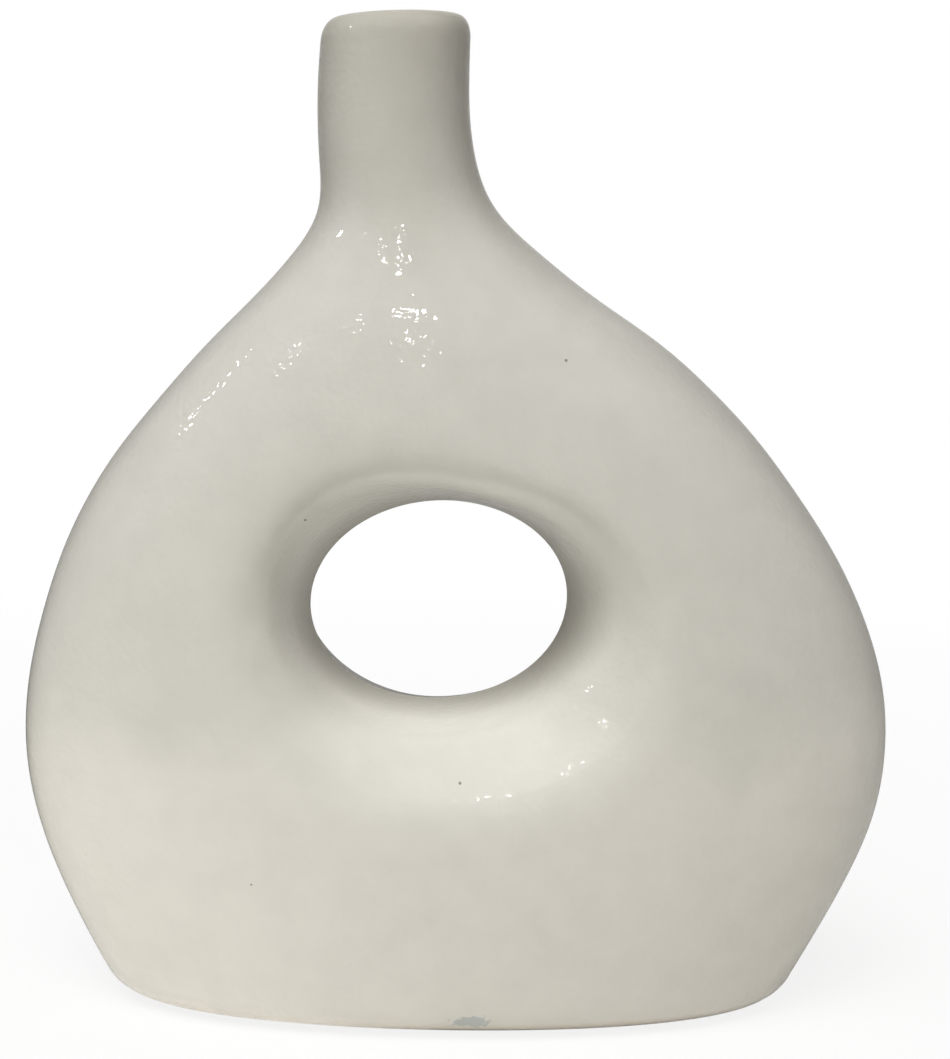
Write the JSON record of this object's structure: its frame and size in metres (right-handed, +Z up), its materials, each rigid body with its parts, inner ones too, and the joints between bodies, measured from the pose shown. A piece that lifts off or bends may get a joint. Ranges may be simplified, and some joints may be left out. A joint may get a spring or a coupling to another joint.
{
  "type": "bottle vase",
  "caption": "Flattened glazed ceramic bottle vase with an off-centre neck, a rounded lip and a flared oval opening right through its hollow body.",
  "frame": {"origin": "middle of the foot, on the ground, halfway between the body's left and right edges", "axes": "+Z up along the neck, +X to the right seen from the front, +Y to the back; the neck stands to the -X side"},
  "size_m": [0.2623, 0.0944, 0.298],
  "materials": {
    "clay": "fired, bare, fine-grained",
    "outer_glaze": "glossy off-white",
    "liner_glaze": "glossy white, poured inside"
  },
  "bodies": {
    "root": {"front_shell": "clay", "back_shell": "clay", "neck_tube": "clay", "base_plate": "clay", "outer_glaze": "outer_glaze", "liner_glaze": "liner_glaze"}
  },
  "joints": []
}
